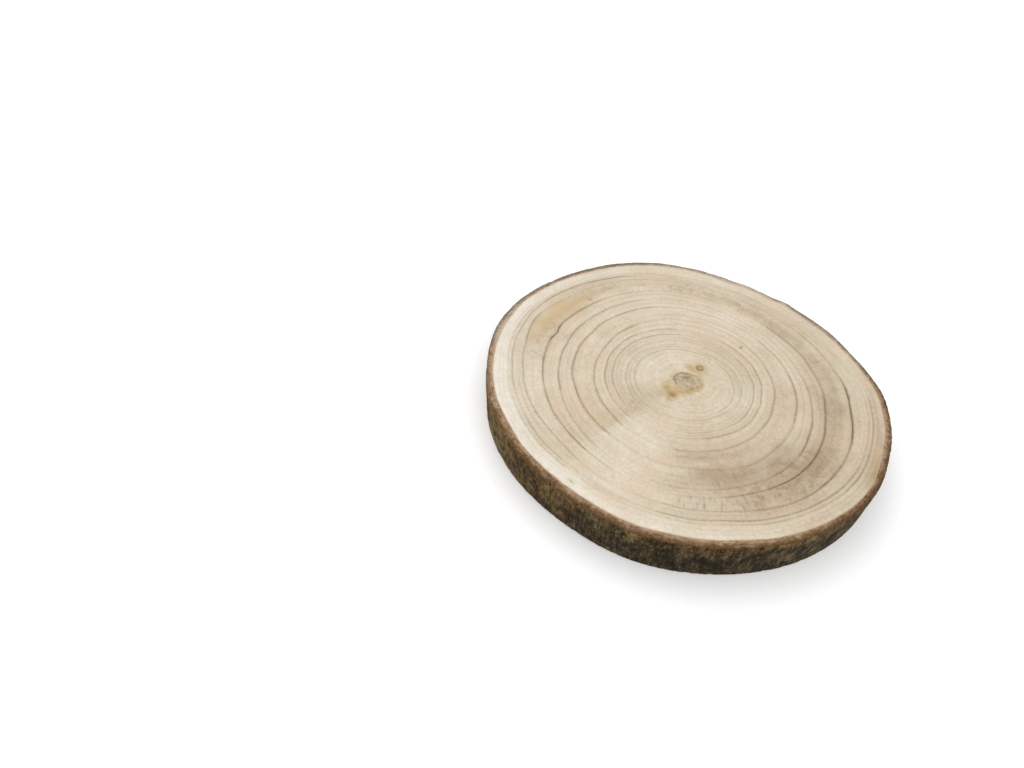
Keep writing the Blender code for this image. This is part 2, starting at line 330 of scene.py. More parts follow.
# Where the sawn face is lighter, darker or stained: tones are shares of the way from tan to near white
tones = {
    "plain": 0.60,
    "clouds": [  # direction and spread in degrees, radius and spread in millimetres, change of tone
        (335, 40, 104, 27, -0.30), (314, 14, 91, 8, -0.18), (290, 8, 91, 4, 0.12),
        (306, 14, 76, 6, -0.26), (345, 9, 91, 4, -0.10), (350, 16, 106, 12, -0.12),
        (330, 20, 76, 9, -0.10), (32, 38, 114, 8, -0.34), (64, 14, 112, 6, -0.14),
        (92, 16, 112, 6, -0.14), (342, 16, 116, 5, -0.10), (24, 14, 137.5, 3.5, -0.14),
        (28, 14, 144.5, 2.5, -0.20), (142, 20, 142, 3, -0.10), (324, 13, 128, 3.5, -0.14),
        (30, 9, 103, 4, -0.12), (30, 9, 116, 5, -0.12), (225, 8, 77, 6, -0.14),
        (18, 9, 80, 9, -0.10), (255, 8, 102, 4, -0.10), (330, 45, 17, 4, -0.10),
        (246, 5, 74, 18, -0.08), (312, 24, 61, 8, -0.08), (3, 12, 141, 6, -0.26),
        (359, 9, 144, 3, -0.34), (50, 26, 38, 11, -0.10), (78, 26, 52, 8, -0.08),
        (240, 14, 38, 12, -0.10), (238, 16, 66, 26, -0.06), (172, 22, 116, 5, -0.20),
        (112, 38, 116, 6, -0.16), (70, 30, 128, 5, -0.12), (110, 34, 90, 12, 0.06),
        (270, 14, 96, 30, 0.06), (140, 30, 25, 7, 0.10), (62, 34, 14, 5, -0.10),
        (203, 32, 12.5, 3.0, -0.34), (82, 14, 23, 4, -0.08), (2, 9, 96, 8, 0.14),
        (0, 8, 104, 4, 0.10), (270, 9, 128, 4, 0.12), (14, 14, 102, 5, -0.12),
        (32, 12, 42, 4, -0.10), (36, 34, 77, 5, -0.10), (330, 16, 91, 5, -0.16),
        (337, 13, 142, 4, -0.20), (200, 16, 132, 7, 0.15), (262, 18, 37, 8, -0.14),
        (0, 14, 40, 5, 0.08), (0, 12, 51, 6, 0.10), (248, 13, 23, 5, -0.24),
        (170, 14, 76, 5, -0.08), (160, 30, 32, 6, 0.10), (345, 30, 34, 7, 0.10),
    ],
    "outerWood": (132.0, 138.0),  # the palest wood lies under the bark, from the first to the second radius
    "outerChange": (0.10, 0.13, 222.0),  # all round, and as much again towards this direction
    "edge": (216, 251.2, 30, 108, -0.05, 0.05),  # a straight radial edge of tone: before and after it
    "ochre": [  # direction, radius, spread in millimetres along and across, strength
        (104, 15.2, 5.4, 4.2, 0.92), (84, 17.5, 5.8, 5.0, 1.05), (94, 12.6, 4.4, 3.0, 0.86),
        (71, 13.0, 4.6, 3.4, 0.66), (66, 17.8, 3.0, 4.0, 0.48), (12, 12.0, 4.0, 2.6, 0.40),
        (348, 10.6, 5.0, 3.2, 0.88), (321, 10.2, 5.4, 2.8, 0.74), (295, 12.6, 5.6, 3.2, 0.90),
        (275, 14.0, 5.6, 4.0, 0.95), (257, 14.2, 4.8, 4.4, 0.84), (260, 20.2, 5.4, 5.4, 1.30),
        (263, 25.0, 3.4, 4.0, 0.84), (240, 18.6, 5.6, 4.8, 1.00), (228, 14.6, 6.0, 4.0, 0.50),
    ],
    "tan": [  # the same for the broad, soft stains
        (165, 124.0, 12.0, 6.5, 1.00), (170, 121.0, 15.0, 6.5, 0.90), (173, 128.0, 13.0, 8.5, 1.15),
        (178, 127.0, 9.0, 8.0, 1.00), (184, 128.0, 10.0, 8.0, 0.95), (192, 129.0, 8.0, 6.0, 0.60),
        (256, 119.0, 10.0, 3.0, 0.35), (244, 80.0, 4.0, 16.0, 0.30), (1, 142.0, 14.0, 4.4, 0.50),
    ],
    "specks": [  # direction, radius, half widths in millimetres along and across, darkness
        (262, 20.5, 2.2, 1.4, 0.55), (270, 17.5, 1.2, 1.0, 0.30), (72, 63.0, 1.0, 1.5, 0.90),
        (161, 119.5, 1.1, 1.9, 0.80), (183, 123.0, 1.2, 0.9, 0.40), (260, 135.4, 2.2, 0.7, 0.55),
        (310, 44.0, 0.8, 0.8, 0.35), (136, 3.8, 3.6, 1.8, 0.62), (115, 7.4, 1.6, 0.9, 0.40),
        (40, 5.5, 1.3, 1.0, 0.30), (318, 8.6, 1.8, 1.2, 0.62), (350, 9.4, 1.2, 0.7, 0.50),
        (250, 5.0, 1.0, 0.9, 0.25), (188, 105.0, 3.0, 2.2, 0.24), (15, 94.0, 3.0, 2.0, 0.10),
    ],
    "knot": (83, 17.6, 2.3, 0.75, 0.62),  # a twig's end: direction, radius, own radius, line width, darkness
    "checks": [  # arcs of fine radial checks: start, end, soft degrees, inner and outer radius, strength
        (300, 322, 8, 87, 94, 0.8), (296, 318, 6, 109, 121, 1.0),
        (316, 342, 8, 103, 121, 0.5),
    ],
    "mottled": [  # arcs of blotched wood: start, end, soft degrees, inner and outer radius, strength
        (340, 75, 12, 109, 122, 1.2), (316, 350, 12, 99, 121, 1.0),
        (80, 150, 14, 109, 121, 0.6), (160, 200, 10, 109, 121, 0.6),
        (150, 200, 14, 74, 84, 0.4),
    ],
    "wander": (5.0, 3.0),  # how far a tone's border wanders: degrees and millimetres
}


def bells(x, y, section, direction, radius, along, across):
    # exp(-(sideways / along)^2 - (outward / across)^2) about a point at a direction and radius
    turn = math.radians(direction)
    fromX = x - section["pith"][0] - radius * mm * math.cos(turn)
    fromY = y - section["pith"][1] - radius * mm * math.sin(turn)
    outward = fromX * math.cos(turn) + fromY * math.sin(turn)
    sideways = fromY * math.cos(turn) - fromX * math.sin(turn)
    return np.exp(-(sideways / (along * mm)) ** 2 - (outward / (across * mm)) ** 2)


def spots(x, y, section, rows):
    # the greatest of strength * bell over rows of direction, radius, spreads and strength
    return np.max([strength * bells(x, y, section, *place) for *place, strength in rows], axis=0)


def arcs(mean, angle, rows, soft):
    # the greatest of strength * window * band over rows of arcs
    mask = 0.0 * (mean + angle)
    for start, end, fade, inner, outer, strength in rows:
        mask = np.maximum(mask, strength * window(angle, start, end, fade) * band(mean, inner, outer, soft))
    return mask


def toneOf(mean, angle):
    # plain tone + sum of change exp(-(turn / spread)^2 - (step / width)^2), with borders that wander
    turn = angle / (2.0 * math.pi)
    share = mean / edgeMean
    degrees, steps = tones["wander"]
    bend = bandNoise(turn, share, 14, 9, 11) + 0.4 * bandNoise(turn, share, 45, 24, 12)
    shift = bandNoise(turn, share, 16, 8, 13) + 0.4 * bandNoise(turn, share, 50, 20, 14)
    bentAngle = angle + math.radians(degrees) * bend
    bentMean = mean + steps * shift
    tone = np.full_like(bentMean, tones["plain"])
    for direction, spread, radius, width, change in tones["clouds"]:
        apart = turnFrom(bentAngle, direction)
        tone += change * np.exp(-(apart / spread) ** 2 - ((bentMean - radius) / width) ** 2)
    inner, outer = tones["outerWood"]
    everywhere, towards, side = tones["outerChange"]
    outerWood = smoothStep(bentMean, inner, outer)
    tone += outerWood * (everywhere + towards * np.cos(angle - math.radians(side)))
    start, end, inner, outer, before, after = tones["edge"]
    sharpAngle = angle + math.radians(0.8) * bandNoise(turn, share, 90, 14, 15)
    reach = band(mean, inner, outer, 12.0)
    apart = turnFrom(sharpAngle, end)
    tone += reach * before * smoothStep(apart, start - end, 0.0) * (apart < 0.0)
    tone += reach * after * (1.0 - smoothStep(apart, 8.0, 40.0)) * (apart >= 0.0)
    tone += 0.035 * bandNoise(turn, share, 20, 9, 21) + 0.035 * bandNoise(turn, share, 52, 22, 22)
    return tone


def faceMarks(mean, x, y, section):
    # every mask that the sawn face's material reads, one value for each point
    angle = section["round"]
    dark, late, early, split = lineMasks(mean, angle)
    # the knot is a ring: exp(-((distance - its radius) / width)^2), open on one side
    direction, radius, size, width, darkness = tones["knot"]
    fromX = x - section["pith"][0] - radius * mm * math.cos(math.radians(direction))
    fromY = y - section["pith"][1] - radius * mm * math.sin(math.radians(direction))
    away = np.hypot(fromX, fromY) / mm
    swirl = size * (1.0 + 0.35 * np.sin(np.arctan2(fromY, fromX)))
    knot = darkness * np.exp(-((away - swirl) / width) ** 2)
    pithSkin = np.exp(-((mean - 10.3) / 0.95) ** 2)
    return {
        "tone": toneOf(mean, angle),
        "lineDark": dark,
        "lateWood": late,
        "earlyWood": early,
        "split": split,
        "checks": arcs(mean, angle, tones["checks"], 4.0),
        "mottled": arcs(mean, angle, tones["mottled"], 5.0),
        "underBark": smoothStep(mean, edgeMean - 2.2, edgeMean) + 0.0 * x,
        "ochre": spots(x, y, section, tones["ochre"]),
        "tan": spots(x, y, section, tones["tan"]),
        "specks": np.maximum(spots(x, y, section, tones["specks"]), knot),
        "pith": (1.0 - smoothStep(mean, 9.4, 11.2)) + 0.0 * x,
        "pithLine": pithSkin * (0.56 + 0.44 * np.cos(angle - math.radians(168.0))),
    }


def faceLoops(mean, section):
    # points on a sawn face: pith + distance * way
    distance = ringDistance(mean, section) * mm
    return section["pith"] + distance[..., None] * section["way"]


def gridMesh(name, loops, marks, poles, closed):
    # quads between each loop of points and the next, with a fan at each pole, or closed on itself
    count, columns = loops.shape[:2]
    here = np.arange(columns)
    after = (here + 1) % columns
    start = np.arange(count if closed else count - 1)[:, None] * columns
    beyond = (start + columns) % (count * columns)
    quads = np.stack([start + here, beyond + here, beyond + after, start + after], axis=-1).reshape(-1, 4)
    faces = quads.tolist()
    points = loops.reshape(-1, 3)
    for number, pole in enumerate(poles):
        centre = np.full(columns, len(points))
        ring = here if number == 0 else here + (count - 1) * columns
        ringAfter = after if number == 0 else after + (count - 1) * columns
        fan = (centre, ring, ringAfter) if number == 0 else (centre, ringAfter, ring)
        faces += np.stack(fan, axis=-1).tolist()
        points = np.vstack([points, pole])
    mesh = bpy.data.meshes.new(name)
    mesh.from_pydata(points, [], faces)
    for mark, values in marks.items():
        values = np.asarray(values, np.float32)
        kind = "FLOAT_VECTOR" if values.ndim == 3 else "FLOAT"
        atPoles = values[[0, -1]].mean(axis=1)[: len(poles)]
        values = values.reshape((-1, 3) if values.ndim == 3 else -1)
        values = np.concatenate([values, atPoles])
        attribute = mesh.attributes.new(mark, kind, "POINT")
        attribute.data.foreach_set("vector" if kind == "FLOAT_VECTOR" else "value", values.ravel())
    mesh.update()
    mesh.shade_smooth()
    mesh.set_sharp_from_angle(angle=math.radians(55.0))
    made = bpy.data.objects.new(name, mesh)
    bpy.context.scene.collection.objects.link(made)
    print(name, "has", len(mesh.vertices), "points and", sum(len(face) - 2 for face in faces), "triangles")
    return made


def sawnWood():
    # the upper face out to its edge, the edge under the bark, then the lower face back to the pith
    section = woodSection
    upperMean = ringRows(rings["upperRows"])
    lowerMean = ringRows(rings["lowerRows"])[::-1]
    sideMean = np.full((3, 1), edgeMean)
    sideLevels = np.linspace(thickness, 0.0, 5)[1:-1, None]
    turn = section["round"] / (2.0 * math.pi)
    loops, allMarks = [], []
    parts = ((upperMean, thickness, -1.0), (sideMean, sideLevels, 0.0), (lowerMean, 0.0, 1.0))
    for mean, level, inwards in parts:
        points = faceLoops(mean, section)
        marks = faceMarks(mean, points[..., 0], points[..., 1], section)
        depth = mm * sum(deep * marks[name] for name, deep in rings["depths"].items())
        depth += mm * rings["sawDepth"] * (1.0 + bandNoise(turn, mean / edgeMean, 90, 40, 31))
        loops.append(np.dstack([points, level + inwards * depth]))
        # for the material: the way round the pith as a point on a circle, and the way out as its height
        around = section["round"] + 0.0 * mean
        polar = np.dstack([np.cos(around), np.sin(around), 0.1 * mean + 0.0 * around])
        allMarks.append({**marks, "polar": polar})
    loops = np.concatenate(loops)
    marks = {name: np.concatenate([part[name] for part in allMarks]) for name in allMarks[0]}
    x, y = section["pith"]
    poles = [(x, y, loops[0, :, 2].mean()), (x, y, loops[-1, :, 2].mean())]
    return gridMesh("sawn_wood", loops, marks, poles, closed=False)


# The bark: low upright plates with fissures between, patchy with lichen, and its two cut rims
bark = {
    "columns": 1180,
    "wallSteps": 46,
    "rimSteps": 9,
    "wornEdge": 0.55,  # millimetres drawn in at the outer edges
    "tuck": 0.40,  # millimetres that its inner wall reaches into the wood
    "rimBelow": 0.10,  # millimetres that its rims lie below the sawn faces
    "rimRoughness": (0.12, 0.40),  # and that fine and coarse noise sink them further at their outer edge
    "leastDepth": 0.12,
    "plateDepth": 0.12,
    "fissureDepth": 0.40,
    "ridgeDepth": 0.24,
    "pitDepth": 0.30,
    "grainDepth": 0.14,
    "warmSide": (196, 256, 20),  # where the wall is brownest: start, end, soft degrees
    # the next three paint light and shade on the wall: painted shade on one side, painted shade low down on
    # another, painted light on a third
    "paintedShadeSide": (290, 312, 14),  # where it is darkest
    "paintedShadeLowPatch": (244, 260, 8),  # where its lower half is dark too
    "paintedLightSide": (196, 234, 10),  # and where it is palest
    "wornSide": (48, 190, 18),  # where its rims have weathered grey
    "rimTones": [  # where its rims are darker or paler: direction, spread in degrees, change
        (92, 18, -0.42), (150, 20, 0.34), (208, 14, -0.34),
        (240, 12, 0.12), (350, 16, 0.20), (12, 10, -0.16),
    ],
}


def barkRelief(turn, up):
    # depth below the outline in millimetres: wide plates, upright fissures where 1 - |noise| is near 1,
    # narrower ridges between them, pits and grain; all lean a little as they rise
    leaning = turn + 0.004 * up + 0.0032 * bandNoise(turn, up, 60, 3, 61)
    plates = 0.5 + 0.5 * bandNoise(leaning, up, 38, 2, 62)
    between = 1.0 - np.abs(bandNoise(leaning, up, 120, 2, 63))
    fissures = smoothStep(between, 0.74, 1.0) * (0.4 + 0.6 * bandNoise(turn, up, 52, 2, 64))
    ridges = 1.0 - np.abs(bandNoise(leaning + 0.01, up, 260, 4, 65))
    pits = smoothStep(bandNoise(turn, up, 230, 9, 66), 0.55, 0.95)
    grain = 0.5 + 0.5 * (0.6 * bandNoise(leaning, up, 560, 16, 67) + 0.4 * bandNoise(turn, up, 300, 26, 68))
    depth = bark["leastDepth"] + bark["plateDepth"] * plates
    depth += bark["fissureDepth"] * np.clip(fissures, 0.0, 1.0)
    depth += bark["ridgeDepth"] * smoothStep(ridges, 0.6, 1.0) + bark["pitDepth"] * pits
    return depth + bark["grainDepth"] * grain


def barkRing():
    # a closed band: out across the upper rim, down the wall, in across the lower rim, up the inner wall
    section = trunkSection(bark["columns"])
    angle = section["angle"]
    turn = angle / (2.0 * math.pi)
    innerReach = (ringDistance(edgeMean, section) - bark["tuck"])[:, None] * mm
    inner = section["pith"] + innerReach * section["way"]
    outerRadius = wavedRadius(angle) + section["dents"]
    names = ("depth", "rim", "across", "worn", "warm", "rimToneAndPaintedShading")
    sides = ("warmSide", "paintedShadeSide", "paintedShadeLowPatch", "paintedLightSide", "wornSide")
    rimTone = swellings(angle, bark["rimTones"])
    warmSide, paintedShadeSide, paintedShadeLowPatch, paintedLightSide, wornSide = [window(angle, *bark[name]) for name in sides]
    ragged = lineNoise(turn, 150, 74) + 0.6 * lineNoise(turn, 60, 75)
    loops, lengths, marks = [], [], {name: [] for name in names}

    def outer(up, drawnIn):
        # outline - relief - what it is drawn in
        depth = barkRelief(turn, up) + drawnIn
        return polarPoints(outerRadius - depth * mm, angle) - section["middle"]

    def addLoop(points, height, depth, rim, across, length):
        # one loop with its marks; warm runs round the trunk and with height, and so do the wall's painted
        # shade and painted light
        up = height / thickness
        warm = warmSide * (0.64 + 0.30 * up) + 0.80 * smoothStep(up + 0.08 * ragged, 0.60, 0.95)
        # painted shade: darker towards the wall's foot and on its shaded sides; painted light: paler on its
        # lit side
        rimToneAndPaintedShading = paintedShadeSide + 0.5 * (1.0 - warmSide) * (1.0 - smoothStep(up, 0.1, 0.7))
        rimToneAndPaintedShading = rimToneAndPaintedShading + 1.1 * paintedShadeLowPatch * (1.0 - smoothStep(up, 0.45, 0.8))
        rimToneAndPaintedShading = rimToneAndPaintedShading - 2.5 * paintedLightSide * (1.0 - 0.4 * smoothStep(up, 0.3, 0.9))
        loops.append(np.column_stack([points, np.broadcast_to(height, turn.shape)]))
        lengths.append(np.broadcast_to(length, turn.shape))
        # on the rims this mark holds their own darker and paler stretches, on the wall its painted shade and
        # painted light
        for name, value in zip(names, (depth, rim, across, wornSide, warm, rimTone if rim else rimToneAndPaintedShading)):
            marks[name].append(np.broadcast_to(value, turn.shape))

    def addRim(level, inwards, up, shares):
        # inner (1 - share) + outer share, sunk a little by noise that grows outwards
        reach = outer(up, bark["wornEdge"])
        fineDepth, coarseDepth = bark["rimRoughness"]
        for share in shares:
            fine = 0.5 + 0.5 * bandNoise(turn, share, 420, 4, 71)
            coarse = 0.5 + 0.5 * bandNoise(turn, share, 130, 3, 72)
            below = bark["rimBelow"] + share * (fineDepth * fine + coarseDepth * coarse)
            points = inner * (1.0 - share) + reach * share
            length = level - inwards * (1.0 - share) * trunk["barkMean"]
            addLoop(points, level + inwards * below * mm, 0.4 * fine + 0.4 * coarse, 1.0, share, length)

    shares = np.linspace(0.0, 1.0, bark["rimSteps"])
    addRim(thickness, -1.0, 1.0, shares)
    margin = 0.9 * mm / thickness
    for up in np.linspace(1.0 - margin, margin, bark["wallSteps"]):
        nearEdge = math.exp(-min(up - margin, 1.0 - margin - up) * thickness / mm / 0.8)
        depth = barkRelief(turn, up)
        points = outer(up, 0.3 * bark["wornEdge"] * nearEdge)
        addLoop(points, up * thickness, depth, 0.0, 1.0, up * thickness)
    addRim(0.0, 1.0, 0.0, shares[::-1])
    for up in (0.25, 0.75):
        addLoop(inner, up * thickness, 0.0, 1.0, 0.0, up * thickness)
    loops = np.array(loops)
    around = np.column_stack([np.cos(angle), np.sin(angle)])
    along = np.array(lengths) / trunk["meanRadius"]
    polar = np.dstack([np.broadcast_to(around, (len(loops), *around.shape)), along])
    marks = {**{name: np.array(rows) for name, rows in marks.items()}, "polar": polar}
    return gridMesh("bark_ring", loops, marks, [], closed=True)


# Studio: a pale floor, soft light all round, and the camera where the picture was taken from
studio = {
    "floorSide": 8.0,
    "floorColour": (0.97, 0.97, 0.97, 1.0),
    "skyStrength": 1.06,
    "lights": [  # place, side, watts
        ((-0.9, 0.5, 1.5), 1.3, 6.0),
        ((0.9, -0.9, 1.3), 1.2, 4.0),
    ],
    "brightness": 1.12,  # how strongly a level face is lit
    "cameraPlace": (0.1006, -0.3629, 0.41795),  # from the middle of the trunk's waves
    "cameraDown": 47.655,  # degrees below level
    "cameraTurn": 35.88,
    "focalPixels": 660.0,
    "pictureWidth": 1024.0,
    "sensorWidth": 36.0,
}


# Small helpers for node trees: a plain value sets a socket, and a socket is linked to it
def fillInputs(tree, node, inputs):
    for name, value in dict(inputs).items():
        if isinstance(value, bpy.types.NodeSocket):
            tree.links.new(value, node.inputs[name])
        else:
            node.inputs[name].default_value = value
    return node


def addNode(tree, kind, inputs=(), **settings):
    node = tree.nodes.new(kind)
    for name, value in settings.items():
        setattr(node, name, value)
    return fillInputs(tree, node, inputs)


def calculate(tree, operation, *values, clamp=False):
    node = addNode(tree, "ShaderNodeMath", enumerate(values), operation=operation, use_clamp=clamp)
    return node.outputs[0]


def times(tree, first, second):
    return calculate(tree, "MULTIPLY", first, second)


def plus(tree, first, second):
    return calculate(tree, "ADD", first, second)


def mixColour(tree, amount, first, second):
    return addNode(tree, "ShaderNodeMix", {0: amount, 6: first, 7: second}, data_type="RGBA").outputs[2]


def stretch(tree, vector, scale):
    return addNode(tree, "ShaderNodeVectorMath", {0: vector, 1: scale}, operation="MULTIPLY").outputs[0]


def rangeOf(tree, value, low, high, newLow=0.0, newHigh=1.0):
    inputs = {"Value": value, "From Min": low, "From Max": high, "To Min": newLow, "To Max": newHigh}
    return addNode(tree, "ShaderNodeMapRange", inputs, interpolation_type="SMOOTHSTEP").outputs["Result"]


def linear(colour):
    # a colour as it looks on screen, 0 to 255, as the share of the studio's light that the surface returns
    share = np.array(colour) / 255.0
    light = np.where(share <= 0.04045, share / 12.92, ((share + 0.055) / 1.055) ** 2.4)
    return (*[float(value) / studio["brightness"] for value in light], 1.0)


def tint(tree, colour, amount, finish, most=1.0):
    # the colour with some of the finish over it, which is given as it looks on screen
    return mixColour(tree, times(tree, amount, most), colour, linear(finish))


def colourRamp(tree, amount, stops):
    node = addNode(tree, "ShaderNodeValToRGB", {"Fac": amount})
    ramp = node.color_ramp
    while len(ramp.elements) < len(stops):
        ramp.elements.new(1.0)
    for element, (place, colour) in zip(ramp.elements, stops):
        element.position = place
        element.color = linear(colour)
    return node.outputs["Color"]


def noise(tree, vector, scale, detail):
    inputs = {"Vector": vector, "Scale": scale, "Detail": detail}
    return addNode(tree, "ShaderNodeTexNoise", inputs).outputs["Fac"]


def newGroup(name, numbers, result):
    # a node group that takes a vector and some numbers, and puts out one number
    group = bpy.data.node_groups.new(name, "ShaderNodeTree")
    group.interface.new_socket("Vector", in_out="INPUT", socket_type="NodeSocketVector")
    for number in numbers:
        group.interface.new_socket(number, in_out="INPUT", socket_type="NodeSocketFloat")
    group.interface.new_socket(result, in_out="OUTPUT", socket_type="NodeSocketFloat")
    return group, group.nodes.new("NodeGroupInput").outputs, group.nodes.new("NodeGroupOutput")


def driftGroup():
    # slow and fine noise together, centred on 0, which shifts a tone either way
    group, given, out = newGroup("toneDrift", ("Slow Scale", "Fine Scale", "Fine Share"), "Drift")
    slow = noise(group, given["Vector"], given["Slow Scale"], 3.0)
    fine = noise(group, given["Vector"], given["Fine Scale"], 2.0)
    slowPart = calculate(group, "SUBTRACT", slow, 0.5)
    finePart = times(group, calculate(group, "SUBTRACT", fine, 0.5), given["Fine Share"])
    group.links.new(plus(group, slowPart, finePart), out.inputs["Drift"])
    return group


def speckleGroup():
    # small round flecks: 1 in the middle of a cell, 0 outside it, and only in some of the cells
    group, given, out = newGroup("speckle", ("Scale", "Size", "Coverage"), "Mask")
    cells = addNode(group, "ShaderNodeTexVoronoi", {"Vector": given["Vector"], "Scale": given["Scale"]})
    picked = addNode(group, "ShaderNodeSeparateColor", {"Color": cells.outputs["Color"]}).outputs[0]
    chosen = calculate(group, "LESS_THAN", picked, given["Coverage"])
    inside = calculate(group, "SUBTRACT", given["Size"], cells.outputs["Distance"])
    sharp = calculate(group, "DIVIDE", inside, given["Size"], clamp=True)
    soft = calculate(group, "MULTIPLY", sharp, 2.0, clamp=True)
    group.links.new(times(group, chosen, soft), out.inputs["Mask"])
    return group


driftShared = driftGroup()
speckleShared = speckleGroup()


def useGroup(tree, shared, *values):
    # a shared group with its inputs filled in their order
    node = addNode(tree, "ShaderNodeGroup", node_tree=shared)
    return fillInputs(tree, node, enumerate(values)).outputs[0]


def drift(tree, vector, slowScale, fineScale, fineShare):
    return useGroup(tree, driftShared, vector, slowScale, fineScale, fineShare)


def speckle(tree, vector, scale, size, coverage):
    return useGroup(tree, speckleShared, vector, scale, size, coverage)


def newMaterial(name):
    material = bpy.data.materials.new(name)
    material.use_nodes = True
    tree = material.node_tree
    return material, tree, tree.nodes["Principled BSDF"]


def readMarks(tree, *names):
    return {name: addNode(tree, "ShaderNodeAttribute", attribute_name=name).outputs["Fac"] for name in names}


# The sawn face's colours, as they look on screen under the studio light
woodFinish = {
    "tones": [  # place on the way from tan to near white
        (0.00, (158, 138, 110)), (0.25, (181, 163, 137)), (0.50, (202, 187, 163)),
        (0.62, (211, 197, 174)), (0.80, (222, 213, 196)), (1.00, (233, 227, 216)),
    ],
    "line": (122, 101, 74),
    "split": (84, 62, 42),
    "late": (178, 155, 122),
    "rosy": (214, 186, 162),
    "cool": (206, 200, 178),
    "ochre": (194, 170, 126),
    "ochreCore": (168, 142, 100),
    "tan": (197, 173, 132),
    "pith": (199, 182, 150),
    "pithDark": (152, 134, 104),
    "pithLine": (128, 109, 80),
    "speck": (112, 86, 58),
    "pore": (150, 128, 96),
    "scuff": (150, 132, 106),
    "underBark": (186, 158, 128),
}


